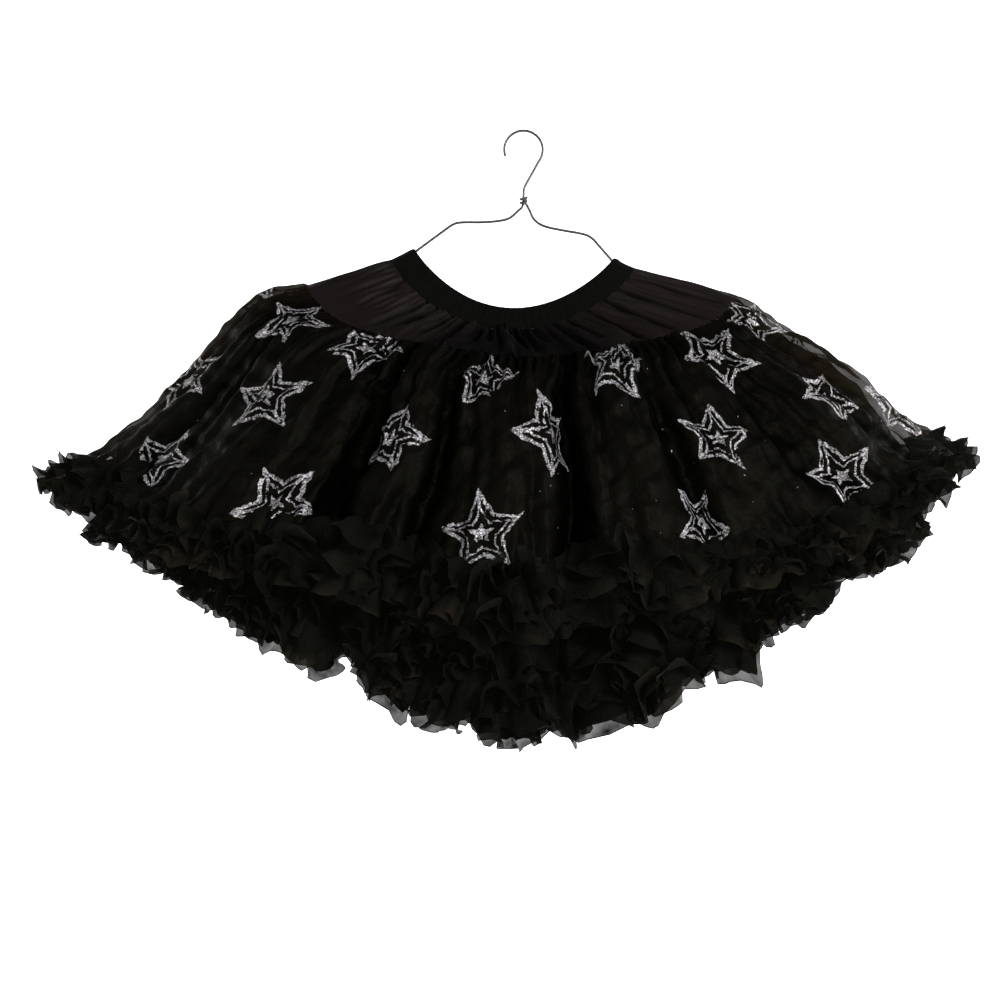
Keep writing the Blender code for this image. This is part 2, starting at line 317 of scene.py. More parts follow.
# Soft square lamps: place, the point they face, size in metres and power in watts.
Lamp = namedtuple("Lamp", "name place aim size power")
SKIRT_MIDDLE = (0.0, 0.0, -0.38)
LAMPS = table(
    Lamp,
    ("key", (0.8, -1.6, 0.05), SKIRT_MIDDLE, 0.5, 33.0),
    ("fill", (-1.5, -1.2, 0.05), SKIRT_MIDDLE, 1.0, 8.0),
    ("right_fill", (1.5, -0.8, -0.2), (0.28, -0.1, -0.42), 0.8, 9.0),
    ("back_light", (0.0, 1.5, -0.25), SKIRT_MIDDLE, 2.2, 34.0),
    ("left_side_light", (-1.3, 0.5, -0.2), (0.3, 1.5, -0.3), 1.0, 30.0),
    ("right_side_light", (1.3, 0.5, -0.2), (-0.3, 1.5, -0.3), 1.0, 30.0),
)


def column_angles(count):
    """Angles of the columns from the centre back, spaced evenly along the outer hem."""
    hem = OUTER_RINGS[HEM]
    half_width = (hem.right - hem.left) / 2
    fine = np.linspace(TURN / 4, TURN / 4 + TURN, 7201)
    speed = np.hypot(half_width * np.sin(fine), hem.depth * np.cos(fine))
    steps = (speed[1:] + speed[:-1]) / 2 * np.diff(fine)
    length = np.concatenate(([0.0], np.cumsum(steps)))
    wanted = np.arange(count) / count * length[-1]
    return np.interp(wanted, length, fine)


def sag_share(angles, power):
    """0 at the sides and 1 at the centre front and back, rounded at the sides."""
    lifted = np.sqrt(np.sin(angles) ** 2 + CORNER_ROUND ** 2) ** power
    lowest = CORNER_ROUND ** power
    highest = (1 + CORNER_ROUND ** 2) ** (power / 2)
    return (lifted - lowest) / (highest - lowest)


def outward(angles, ring):
    """Unit directions that point straight out of a ring, seen from above."""
    half_width = (ring.right - ring.left) / 2
    x = np.cos(angles) / half_width
    y = np.sin(angles) / ring.depth
    length = np.hypot(x, y)
    return np.stack((x / length, y / length, np.zeros_like(x)), axis=1)


def bump_round(angles, centre, half_width):
    """A raised cosine round an angle in degrees."""
    away = np.abs((np.degrees(angles) - centre + 180) % 360 - 180)
    return (1 + np.cos(math.pi * np.clip(away / half_width, 0, 1))) / 2


def fold_moves(angles, drop):
    """How far all folds move the cloth out and down, drop 0 at the yoke to 1 at the hem."""
    out = np.zeros_like(angles)
    down = np.zeros_like(angles)
    for fold in FOLDS:
        centre = fold.top + (fold.hem - fold.top) * drop
        swell = bump_round(angles, centre, fold.half_width)
        out += fold.depth * swell
        down += fold.sink * swell
    return out, down


def ring_points(ring, angles, drop):
    """Points of one ring in metres, its folds included."""
    middle = (ring.left + ring.right) / 2
    half_width = (ring.right - ring.left) / 2
    side = (1 + np.cos(angles)) / 2
    z_side = ring.z_left + (ring.z_right - ring.z_left) * side
    share = sag_share(angles, ring.sag)
    out, down = fold_moves(angles, drop)
    x = middle + half_width * np.cos(angles)
    y = ring.depth * np.sin(angles)
    z = z_side + (ring.z_centre - z_side) * share - down * ring.folds
    points = np.stack((x, y, z), axis=1)
    return (points + outward(angles, ring) * (out * ring.folds)[:, None]) * MM


def layer_rows(rings, angles):
    """The ring points of a layer, waist to hem."""
    last = len(rings) - 1
    return [ring_points(ring, angles, number / last) for number, ring in enumerate(rings)]


def between(rows, place):
    """Points at a place between the rings, on a smooth curve through them."""
    last = len(rows) - 1
    low = min(int(place), last - 1)
    t = place - low
    before = rows[low - 1] if low > 0 else 2 * rows[0] - rows[1]
    after = rows[low + 2] if low + 2 <= last else 2 * rows[last] - rows[last - 1]
    start = rows[low]
    end = rows[low + 1]
    slope_in = (end - before) / 2
    slope_out = (after - start) / 2
    return (
        start * (2 * t ** 3 - 3 * t ** 2 + 1)
        + slope_in * (t ** 3 - 2 * t ** 2 + t)
        + end * (3 * t ** 2 - 2 * t ** 3)
        + slope_out * (t ** 3 - t ** 2)
    )


def grid_normals(grid):
    """Outward unit normals and unit directions round the skirt at each grid point."""
    down = np.gradient(grid, axis=0)
    along = np.roll(grid, -1, axis=1) - np.roll(grid, 1, axis=1)
    along /= np.linalg.norm(along, axis=2, keepdims=True)
    normal = np.cross(down, along)
    normal /= np.linalg.norm(normal, axis=2, keepdims=True)
    return normal, along


def grid_places(columns, steps):
    """Place round the skirt and down the piece of each column and row, 0 to 1."""
    return np.arange(columns)[None, :] / columns, np.linspace(0, 1, steps + 1)[:, None]


def layer_grid(layer, angles, top, foot, steps):
    """A grid of points on the outer or the under layer between two places."""
    outer = layer_rows(OUTER_RINGS, angles)
    rows = outer
    if layer == "under":
        rows = layer_rows(UNDER_RINGS, angles)
        seam = np.array([between(outer, YOKE_FOOT), between(outer, YOKE_FOOT + 0.03)])
        normal, _ = grid_normals(seam)
        rows[0] = seam[1] - normal[1] * UNDER_INSET * MM
    places = np.linspace(top, foot, steps + 1)
    return np.array([between(rows, place) for place in places])


def outer_stretch(columns, top, foot, steps):
    """A stretch of the outer layer: its angles, grid, outward directions and places."""
    angles = column_angles(columns)
    skin = layer_grid("outer", angles, top, foot, steps)
    normal, _ = grid_normals(skin)
    return angles, skin, normal, *grid_places(columns, steps)


def trough_shade(move, full):
    """Share of painted shade: 0 on the ridges and 1 in the troughs that are as deep as full.
    """
    return np.clip(-move / full, 0, 1)


def fold_depths(rings, angles, places):
    """How far the big folds move the cloth out at each grid point, in metres."""
    shares = np.interp(places, np.arange(len(rings)), [ring.folds for ring in rings])
    rows = [fold_moves(angles, row / (len(rings) - 1))[0] for row in places]
    return np.array(rows) * shares * MM


def soft_noise(around, down, seed, around_waves, down_waves, terms=10):
    """Smooth uneven waves; around runs 0 to 1 round the skirt, down 0 to 1 to the foot."""
    rng = np.random.default_rng(seed)
    total = 0.0
    for _ in range(terms):
        turns = rng.integers(around_waves[0], around_waves[1] + 1)
        slope = rng.uniform(-down_waves, down_waves)
        start = rng.uniform(0, TURN)
        total = total + np.sin(TURN * (turns * around + slope * down) + start)
    return total / math.sqrt(terms)


def small_waves(waves, around, down, seed=0):
    """One kind of small wave at each grid point, in metres."""
    noise = soft_noise(around, down, seed + waves.seed, waves.around, waves.slant, waves.terms)
    return noise * waves.size * MM


def crumple_noise(points, length, seed, terms=16):
    """Smooth moves in all directions that change over a length in metres."""
    rng = np.random.default_rng(seed)
    total = np.zeros_like(points)
    for _ in range(terms):
        heading = rng.normal(size=3)
        heading *= TURN / length * rng.uniform(0.6, 1.5) / np.linalg.norm(heading)
        push = rng.normal(size=3)
        push /= np.linalg.norm(push)
        total += np.sin(points @ heading + rng.uniform(0, TURN))[..., None] * push
    return total / math.sqrt(terms)


def crumples(kinds, points, seed):
    """Crumples of all kinds of a table together, in metres."""
    return sum(
        crumple_noise(points, kind.length * MM, seed + kind.seed) * kind.size * MM
        for kind in kinds
    )


def crease_moves(creases, angles, down):
    """How far a table of creases moves the cloth out, in metres."""
    total = np.zeros((down.shape[0], angles.shape[0]))
    for crease in creases:
        span = crease.end - crease.start
        along = (down[:, 0] - crease.start) / span
        fade = np.sin(math.pi * np.clip(along * 0.86 + 0.14, 0, 1)) ** 0.7
        fade = np.where((along >= -0.16) & (along <= 1), fade, 0.0)
        for row in np.nonzero(fade)[0]:
            share = min(max(along[row], 0), 1)
            centre = crease.angle + (crease.end_angle - crease.angle) * share
            width = crease.half_width + (crease.end_width - crease.half_width) * share
            total[row] += crease.depth * MM * fade[row] * bump_round(angles, centre, width)
    return total


def mirrored(creases, share):
    """The same creases on the back, a little off and less deep."""
    return tuple(
        crease._replace(
            angle=361.5 - crease.angle,
            end_angle=360 - crease.end_angle,
            depth=crease.depth * share,
        )
        for crease in creases
    )


def cloth_lengths(grid):
    """Length round each row, with the closing column, and length down each column."""
    closed = np.concatenate((grid, grid[:, :1]), axis=1)
    steps = np.linalg.norm(np.diff(closed, axis=1), axis=2)
    around = np.concatenate((np.zeros((len(grid), 1)), np.cumsum(steps, axis=1)), axis=1)
    falls = np.linalg.norm(np.diff(closed, axis=0), axis=2)
    down = np.concatenate((np.zeros((1, closed.shape[1])), np.cumsum(falls, axis=0)))
    return around, down


def hem_shift(angles):
    """How far below the tier's usual foot the outer ruffle starts at each column."""
    turned = np.degrees(angles) % 360
    places = np.array([point.angle for point in HEM_LINE] + [360 + HEM_LINE[0].angle])
    shifts = np.array([point.shift for point in HEM_LINE] + [HEM_LINE[0].shift])
    after = np.clip(np.searchsorted(places, turned, side="right"), 1, len(places) - 1)
    part = (turned - places[after - 1]) / (places[after] - places[after - 1])
    part = (1 - np.cos(math.pi * part)) / 2
    return shifts[after - 1] * (1 - part) + shifts[after] * part


def line_on(grid, share):
    """Points of a line that runs round a grid at its own share of the height a column."""
    place = np.clip(share, 0, 1) * (len(grid) - 1)
    low = np.clip(place.astype(int), 0, len(grid) - 2)
    columns = np.arange(grid.shape[1])
    part = (place - low)[:, None]
    return grid[low, columns] * (1 - part) + grid[low + 1, columns] * part


def grid_faces(rows, columns, first):
    """Corner numbers of the faces of a closed grid, and the same on an open grid."""
    row, column = np.meshgrid(np.arange(rows - 1), np.arange(columns), indexing="ij")
    row = row.ravel()
    column = column.ravel()
    after = (column + 1) % columns
    corners = np.stack((
        first + row * columns + column,
        first + (row + 1) * columns + column,
        first + (row + 1) * columns + after,
        first + row * columns + after,
    ), axis=1)
    wide = columns + 1
    loops = np.stack((
        row * wide + column,
        (row + 1) * wide + column,
        (row + 1) * wide + column + 1,
        row * wide + column + 1,
    ), axis=1)
    return corners, loops


def weave_map(grid):
    """Cloth coordinates in metres on the straight grain: round the skirt, up from the foot."""
    around, down = cloth_lengths(grid)
    longest = around[int(np.argmax(around[:, -1]))]
    return np.stack((0 * down + longest, down[-1] - down), axis=2)


def cloth_object(name, grids, painted_shades, material, stars=None):
    """One shell of closed grids, with a weave map, a painted shade mask for each and any
    stars.
    """
    points = []
    faces = []
    weave = []
    first = 0
    for grid in grids:
        rows, columns = grid.shape[:2]
        corners, loops = grid_faces(rows, columns, first)
        points.append(grid.reshape(-1, 3))
        faces.append(corners)
        weave.append(weave_map(grid).reshape(-1, 2)[loops.ravel()])
        first += rows * columns
    mesh = bpy.data.meshes.new(name)
    mesh.from_pydata(np.concatenate(points).tolist(), [], np.concatenate(faces).tolist())
    layers = {"weave": np.concatenate(weave)}
    if stars is not None:
        layers["star"] = stars
    for key, values in layers.items():
        layer = mesh.uv_layers.new(name=key)
        layer.data.foreach_set("uv", values.astype(np.float32).ravel())
    # The mask of painted shade, which darkens the colour in troughs and shaded places.
    depth = mesh.attributes.new("painted_shade", "FLOAT", "POINT")
    depth.data.foreach_set("value", np.concatenate([part.ravel() for part in painted_shades]))
    mesh.materials.append(material)
    mesh.shade_smooth()
    piece = bpy.data.objects.new(name, mesh)
    bpy.context.scene.collection.objects.link(piece)
    return piece


def dress(piece, node):
    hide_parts(node)
    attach(piece, "root")


STAR_ROOM = 1.25
NO_STAR = 6.0
TUCK_DEPTH = -15
TUCK_WIDTH = 7
TUCK_SHARE = 0.75


def tucked_cloth(angles, down):
    """Cloth in metres that is tucked away in the narrow troughs, counted round each row."""
    total = np.zeros((down.shape[0], len(angles) + 1))
    turned = np.degrees(np.concatenate((angles, [angles[0] + TURN])))
    first = turned[0]
    for fold in FOLDS:
        if fold.depth > TUCK_DEPTH or fold.half_width > TUCK_WIDTH:
            continue
        for row, share in enumerate(down[:, 0]):
            drop = (YOKE_FOOT + (TIER_FOOT - YOKE_FOOT) * share) / HEM
            centre = (fold.top + (fold.hem - fold.top) * drop - first) % 360 + first
            passed = np.clip((turned - centre) / 2.0 + 0.5, 0, 1)
            total[row] -= passed * fold.depth * MM * TUCK_SHARE * (0.4 + 0.6 * share)
    return total


def star_map(grid, angles, down, radius):
    """For each face corner, its place on the nearest star in star radii."""
    around, fall = cloth_lengths(grid)
    around = around + tucked_cloth(angles, down)
    rows, columns = grid.shape[:2]
    _, loops = grid_faces(rows, columns, 0)
    result = np.full((loops.shape[0], 4, 2), NO_STAR)
    loops_around = around.ravel()[loops]
    loops_fall = fall.ravel()[loops]
    loops_row = np.repeat(np.arange(rows), columns + 1)[loops]
    for star in STARS:
        away = np.abs((np.degrees(angles) - star.angle + 180) % 360 - 180)
        column = int(np.argmin(away))
        level = int(star.drop * (rows - 1))
        across = loops_around - around[loops_row, column]
        rise = fall[level, column] - loops_fall
        tilt = math.radians(star.tilt)
        size = radius * star.size
        x = (across * math.cos(tilt) + rise * math.sin(tilt)) / size
        y = (rise * math.cos(tilt) - across * math.sin(tilt)) / size
        near = (np.abs(x).max(axis=1) < STAR_ROOM) & (np.abs(y).max(axis=1) < STAR_ROOM)
        result[near, :, 0] = x[near]
        result[near, :, 1] = y[near]
    return result.reshape(-1, 2)


class Finish:
    """A material's node tree, with short ways to add nodes to it."""

    def __init__(self, name):
        self.material = bpy.data.materials.new(name)
        self.material.use_nodes = True
        self.tree = self.material.node_tree
        self.shader = self.tree.nodes["Principled BSDF"]

    def set(self, **values):
        for key, value in values.items():
            self.shader.inputs[key.replace("_", " ")].default_value = value

    def add(self, kind, inputs=None, **settings):
        """Makes a node with these settings, and feeds its inputs by name or number."""
        node = self.tree.nodes.new("ShaderNode" + kind)
        for key, value in settings.items():
            setattr(node, key, value)
        for key, source in (inputs or {}).items():
            self.feed(node.inputs[key], source)
        return node

    def feed(self, socket, source):
        """Links a socket to another one's output, or sets it to a number or colour."""
        if isinstance(source, bpy.types.NodeSocket):
            self.tree.links.new(source, socket)
        else:
            socket.default_value = source

    def calc(self, operation, first, second=0.0, clamp=False):
        node = self.add("Math", {0: first, 1: second}, operation=operation, use_clamp=clamp)
        return node.outputs[0]

    def uv(self, name, scale=(1.0, 1.0, 1.0), turn=0.0):
        source = self.add("UVMap", uv_map=name).outputs["UV"]
        inputs = {"Scale": scale, "Rotation": (0.0, 0.0, turn), "Vector": source}
        return self.add("Mapping", inputs).outputs["Vector"]

    def noise(self, vector, scale, detail=3.0, roughness=0.5):
        inputs = {"Vector": vector, "Scale": scale, "Detail": detail, "Roughness": roughness}
        return self.add("TexNoise", inputs).outputs["Fac"]

    def wave(self, vector, scale, distortion=0.0):
        inputs = {"Vector": vector, "Scale": scale, "Distortion": distortion, "Detail": 1.0}
        node = self.add("TexWave", inputs, wave_type="BANDS", bands_direction="X")
        return node.outputs["Fac"]

    def ramp(self, factor, low, high, low_value=0.0, high_value=1.0):
        inputs = {
            "Value": factor, "From Min": low, "From Max": high,
            "To Min": low_value, "To Max": high_value,
        }
        return self.add("MapRange", inputs).outputs["Result"]

    def blend(self, factor, first, second):
        return self.add("Mix", {0: factor, 6: first, 7: second}, data_type="RGBA").outputs[2]

    def bump(self, height, strength, distance, below=None):
        inputs = {"Strength": strength, "Distance": distance, "Height": height}
        if below is not None:
            inputs["Normal"] = below
        return self.add("Bump", inputs).outputs["Normal"]

    def painted_shade(self, share):
        """The painted shade mask here, times a share."""
        source = self.add("Attribute", attribute_name="painted_shade", attribute_type="GEOMETRY")
        return self.calc("MULTIPLY", source.outputs["Fac"], share)

    def use(self, name, source):
        self.feed(self.shader.inputs[name], source)


def shade(colour, share):
    """A colour made darker or lighter, with full alpha."""
    return tuple(channel * share for channel in colour) + (1.0,)


def tinted(colour, shares):
    """A colour with each channel made darker or lighter, with full alpha."""
    return tuple(channel * share for channel, share in zip(colour, shares)) + (1.0,)


# Divided by a thread's width, this is the band scale with a band for each pair of threads.
THREAD_SCALE = 0.5 / 3.14159


def weave_height(finish, thread):
    """Crossing threads of a plain weave, as a height."""
    scale = THREAD_SCALE / thread
    warp = finish.wave(finish.uv("weave"), scale)
    weft = finish.wave(finish.uv("weave", turn=math.radians(90)), scale)
    return finish.calc("MULTIPLY", warp, weft)


def satin_finish(colour):
    """Soft black satin: a brownish sheen, a fine twill and faint crumples."""
    finish = Finish("satin_black")
    cloth = finish.uv("weave")
    patch = finish.noise(cloth, 26.0, 4.0)
    tone = finish.blend(patch, shade(colour, 0.72), shade(colour, 1.35))
    # Painted shade darkens the colour where the mask is high; there the satin is rougher too.
    finish.use("Base Color", finish.blend(finish.painted_shade(0.90), tone, shade(colour, 0.08)))
    gloss = finish.ramp(patch, 0.3, 0.7, 0.42, 0.54)
    finish.use("Roughness", finish.calc("ADD", gloss, finish.painted_shade(0.5), True))
    twill = finish.wave(finish.uv("weave", turn=math.radians(38)), 420.0)
    crumple = finish.bump(finish.noise(cloth, 95.0, 3.0), 0.35, 0.0012)
    finish.use("Normal", finish.bump(twill, 0.10, 0.0002, crumple))
    finish.set(Sheen_Weight=0.007, Sheen_Roughness=0.35, Specular_IOR_Level=0.045)
    finish.set(Sheen_Tint=(0.62, 0.50, 0.50, 1.0))
    return finish.material


def band_finish(colour):
    """Matt elastic casing: fine upright ribs, faint crumples and an uneven tone."""
    finish = Finish("band_black")
    cloth = finish.uv("weave")
    patch = finish.noise(cloth, 60.0, 3.0)
    finish.use("Base Color", finish.blend(patch, shade(colour, 0.7), shade(colour, 1.3)))
    rib = finish.wave(cloth, 190.0, 0.6)
    soft = finish.bump(finish.noise(cloth, 160.0, 2.0), 0.3, 0.0008)
    finish.use("Normal", finish.bump(rib, 0.25, 0.0004, soft))
    finish.set(Roughness=0.8, Sheen_Weight=0.015, Sheen_Roughness=0.5)
    finish.set(Specular_IOR_Level=0.02)
    return finish.material


def sheer_base(finish, colour, opacity, crinkle):
    """Shared look of organza and chiffon: warm black, crinkled, slightly see-through."""
    cloth = finish.uv("weave")
    patch = finish.noise(cloth, 18.0, 4.0)
    finish.set(Sheen_Weight=0.006, Sheen_Roughness=0.4, Specular_IOR_Level=0.025)
    finish.set(Sheen_Tint=(0.60, 0.57, 0.42, 1.0), Specular_Tint=(1.0, 0.96, 0.74, 1.0))
    tone = finish.blend(patch, shade(colour, 0.50), shade(colour, 1.65))
    # Painted shade: the colour darkens nearly to black where the painted shade mask is high.
    tone = finish.blend(finish.painted_shade(0.92), tone, shade(colour, 0.05))
    thin = finish.noise(cloth, 55.0, 3.0)
    cover = finish.ramp(thin, 0.3, 0.7, opacity - 0.07, min(opacity + 0.07, 1.0))
    long_creases = finish.noise(finish.uv("weave", (1.0, 0.14, 1.0)), crinkle * 3.2, 3.0)
    drawn = finish.bump(long_creases, 0.5, 0.0012)
    creases = finish.bump(finish.noise(cloth, crinkle, 4.0, 0.6), 0.85, 0.0026, drawn)
    threads = finish.bump(weave_height(finish, 0.0007), 0.12, 0.0002, creases)
    return tone, cover, threads


# Chiffon's faint glow stands in for the light that comes through several thin layers, and
# its free edge, some mm wide, is browner in places.
THIN_GLOW = (0.84, 0.86, 0.68, 1.0)
THIN_GLOW_STRENGTH = 0.0012
EDGE_ROOM = 0.012
EDGE_TINT = (2.7, 2.2, 1.6)


def chiffon_finish(colour, opacity):
    """Crumpled chiffon: closed where it is dense, browner and sheer near its free edge."""
    finish = Finish("chiffon_black")
    tone, cover, threads = sheer_base(finish, colour, opacity, 150.0)
    split = finish.add("SeparateXYZ")
    finish.feed(split.inputs[0], finish.uv("weave"))
    inner = finish.ramp(split.outputs["Y"], EDGE_ROOM * 0.6, EDGE_ROOM, 0.0, 1.0)
    rolled = finish.ramp(split.outputs["Y"], 0.0010, 0.0015, 1.0, 0.0)
    closed = finish.calc("MAXIMUM", inner, rolled)
    place = finish.add("TexCoord").outputs["Object"]
    some = finish.ramp(finish.noise(place, 24.0, 2.0), 0.52, 0.62, 0.0, 0.8)
    near = finish.ramp(split.outputs["Y"], 0.002, EDGE_ROOM, 1.0, 0.0)
    brown = tinted(colour, EDGE_TINT)
    tone = finish.blend(finish.calc("MULTIPLY", some, near), tone, brown)
    finish.use("Base Color", tone)
    finish.use("Alpha", finish.calc("MAXIMUM", cover, closed))
    finish.use("Normal", threads)
    finish.set(Roughness=0.62)
    finish.set(Emission_Color=THIN_GLOW, Emission_Strength=THIN_GLOW_STRENGTH)
    return finish.material


# The star's parts by their depth inside its outline, in shares of its radius.
STAR_NOTCH = 0.50
STAR_RIM = (0.0, 0.078)
STAR_RING = (0.165, 0.205)
STAR_HEART = 0.335
STAR_RAY = (0.05, 0.2)
STAR_RAY_WIDTH = 0.035


def star_shape(finish):
    """A five-pointed star with cut-outs: 1 on the glitter and 0 off it."""
    source = finish.add("UVMap", uv_map="star")
    split = finish.add("SeparateXYZ", {0: source.outputs["UV"]})
    x = split.outputs["X"]
    y = split.outputs["Y"]
    calc = finish.calc
    radius = calc("SQRT", calc("ADD", calc("POWER", x, 2.0), calc("POWER", y, 2.0)))
    angle = calc("ADD", calc("ARCTAN2", x, y), TURN)
    sector = TURN / 5
    folded = calc("MODULO", calc("ADD", angle, sector / 2), sector)
    folded = calc("ABSOLUTE", calc("SUBTRACT", folded, sector / 2))
    px = calc("MULTIPLY", radius, calc("COSINE", folded))
    py = calc("MULTIPLY", radius, calc("SINE", folded))
    run_x = STAR_NOTCH * math.cos(sector / 2) - 1.0
    run_y = STAR_NOTCH * math.sin(sector / 2)
    length = math.hypot(run_x, run_y)
    far = calc("SUBTRACT", px, 1.0)
    inside = calc(
        "SUBTRACT",
        calc("MULTIPLY", far, -run_y / length),
        calc("MULTIPLY", py, -run_x / length),
    )
    wobble = finish.noise(finish.uv("star"), 7.0, 4.0, 0.65)
    shake = calc("MULTIPLY", calc("SUBTRACT", wobble, 0.5), 0.15)
    depth = calc("ADD", inside, shake)

    def band(low, high):
        above = calc("GREATER_THAN", depth, low)
        below = calc("LESS_THAN", depth, high)
        return calc("MULTIPLY", above, below)

    heart = calc("GREATER_THAN", depth, STAR_HEART)
    ray = calc("LESS_THAN", calc("ABSOLUTE", py), STAR_RAY_WIDTH)
    ray = calc("MULTIPLY", ray, band(*STAR_RAY))
    lines = calc("ADD", band(*STAR_RIM), band(*STAR_RING))
    return calc("ADD", lines, calc("ADD", heart, ray), True)


# Painted light browns the organza seen edge on; the glitter is flakes, some worn off.
SIDE_START = 0.03
SIDE_END = 0.22
SIDE_LIGHT_TINT = (7.5, 5.4, 3.4)
SIDE_COVER = 0.16
FLAKE_SCALE = 860.0
WORN_SHARE = 0.42
STRAY_SHARE = 0.9997


def organza_finish(name, colour, opacity, glitter=None):
    """Sheer organza, with silver glitter stars where glitter gives their colour."""
    finish = Finish(name)
    tone, cover, threads = sheer_base(finish, colour, opacity, 70.0)
    finish.set(Roughness=0.50)
    if glitter is None:
        finish.use("Base Color", tone)
        finish.use("Normal", threads)
        return finish.material
    cells = finish.add("TexVoronoi", {"Scale": FLAKE_SCALE})
    finish.feed(cells.inputs["Vector"], finish.add("TexCoord").outputs["Object"])
    pick = finish.add("SeparateColor", {0: cells.outputs["Color"]})
    worn = finish.noise(finish.add("TexCoord").outputs["Object"], 210.0, 3.0, 0.7)
    kept = finish.calc("GREATER_THAN", worn, WORN_SHARE)
    stray = finish.calc("GREATER_THAN", pick.outputs[2], STRAY_SHARE)
    mask = finish.calc("MAXIMUM", finish.calc("MULTIPLY", star_shape(finish), kept), stray)
    apart = finish.add("SeparateXYZ")
    finish.feed(apart.inputs[0], finish.add("TexCoord").outputs["Object"])
    # Painted light: light brown where seen edge on, as if lit through; more so on the right.
    edge = finish.calc("DIVIDE", apart.outputs["Y"], apart.outputs["Z"])
    edge = finish.ramp(finish.calc("ABSOLUTE", edge), SIDE_START, SIDE_END, 1.0, 0.0)
    edge = finish.calc("MULTIPLY", edge, finish.ramp(apart.outputs["X"], -0.1, 0.1, 0.45, 0.9))
    tone = finish.blend(edge, tone, tinted(colour, SIDE_LIGHT_TINT))
    left = finish.ramp(apart.outputs["X"], -0.30, -0.10, SIDE_COVER, 0.0)
    cover = finish.calc("ADD", cover, left, True)
    # Painted sparkle: each flake is brighter or darker at random, like glints.
    lit = finish.calc("POWER", pick.outputs[0], 2.2)
    painted_sparkle = finish.blend(lit, shade(glitter, 0.22), shade(glitter, 1.9))
    finish.use("Base Color", finish.blend(mask, tone, painted_sparkle))
    finish.use("Alpha", finish.calc("MAXIMUM", cover, mask))
    finish.use("Metallic", finish.calc("MULTIPLY", mask, 0.35))
    flakes = finish.bump(finish.calc("MULTIPLY", pick.outputs[1], mask), 0.7, 0.0006, threads)
    finish.use("Normal", flakes)
    return finish.material


def wire_finish(colour):
    """Drawn steel wire: dark grey with fine streaks along it."""
    finish = Finish("hanger_wire")
    place = finish.add("TexCoord").outputs["Object"]
    streak = finish.noise(place, 900.0, 3.0)
    patch = finish.noise(place, 60.0, 3.0)
    finish.use("Base Color", finish.blend(patch, shade(colour, 0.75), shade(colour, 1.3)))
    finish.use("Roughness", finish.ramp(streak, 0.3, 0.7, 0.28, 0.46))
    finish.use("Normal", finish.bump(streak, 0.15, 0.0001))
    finish.set(Metallic=0.7)
    return finish.material


def colour(name, description, default):
    """A colour that the user may change."""
    return bpy.props.FloatVectorProperty(
        name=name, description=description, subtype="COLOR", default=default, min=0, max=1
    )


class SkirtSettings(bpy.types.PropertyGroup):
    """Sizes and colours of the skirt that a user would change."""

    band_colour: colour("Band", "Colour of the elastic casing", (0.0020, 0.0020, 0.0017))
    satin_colour: colour("Satin", "Colour of the yoke", (0.0078, 0.0060, 0.0055))
    organza_colour: colour("Organza", "Colour of the sheer tiers", (0.0017, 0.0016, 0.0012))
    chiffon_colour: colour("Chiffon", "Colour of the ruffles", (0.0032, 0.0032, 0.0026))
    glitter_colour: colour("Glitter", "Colour of the stars", (0.29, 0.28, 0.29))
    wire_colour: colour("Wire", "Colour of the hanger", (0.05, 0.05, 0.048))
    organza_opacity: bpy.props.FloatProperty(
        name="Organza cover", description="How much a layer of organza hides",
        subtype="FACTOR", default=0.80, min=0.1, max=1.0,
    )
    chiffon_opacity: bpy.props.FloatProperty(
        name="Chiffon cover", description="How much a layer of chiffon hides",
        subtype="FACTOR", default=0.95, min=0.1, max=1.0,
    )
    star_radius: bpy.props.FloatProperty(
        name="Star radius", description="From a star's middle to its points",
        unit="LENGTH", default=0.040, min=0.005, max=0.1,
    )
    ruffle_wave: bpy.props.FloatProperty(
        name="Ruffle wave", description="How far a ruffle swings out at its free edge",
        unit="LENGTH", default=0.0095, min=0.001, max=0.03,
    )


def settings():
    return bpy.context.scene.tutu_skirt


BAND_COLUMNS = 720
BAND_ROWS = 12
BAND_BELLY = 0.9 * MM
BAND_BACK = 1.5 * MM
BAND_EDGE = 0.7 * MM


class TUTU_OT_waistband(bpy.types.Operator):
    """Elastic casing: a folded strip with a rounded top edge and small puckers"""

    bl_idname = "tutu.waistband"
    bl_label = "Waistband"

    def execute(self, context):
        stretch = outer_stretch(BAND_COLUMNS, BAND_TOP, BAND_FOOT, BAND_ROWS)
        _, skin, normal, around, down = stretch
        pucker = small_waves(BAND_PUCKER, around, down)
        pucker = pucker * np.sin(math.pi * np.clip(down, 0.02, 0.98)) ** 0.5
        belly = BAND_BELLY * np.sin(math.pi * down) ** 0.8
        front = skin + normal * (pucker + belly)[:, :, None]
        back = skin - normal * (BAND_BACK - pucker * 0.5)[:, :, None]
        rise = skin[0] - skin[1]
        rise /= np.linalg.norm(rise, axis=1)[:, None]
        crown = skin[0] - normal[0] * BAND_EDGE + rise * 0.5 * MM
        foot = skin[-1] - normal[-1] * BAND_EDGE - rise * 0.4 * MM
        loop = np.concatenate((foot[None], back[::-1], crown[None], front, foot[None]))
        finish = band_finish(settings().band_colour)
        piece = cloth_object("waistband_cloth", [loop], [0 * loop[:, :, 0]], finish)
        dress(piece, "waistband")
        return {"FINISHED"}


YOKE_COLUMNS = 960
YOKE_ROWS = 34
# Painted shade on the yoke: full in troughs this deep, and more by YOKE_SHADE at the centre
# front and back.
YOKE_FULL_SHADE_DEPTH = 4.5 * MM
YOKE_SHADE = 1.0


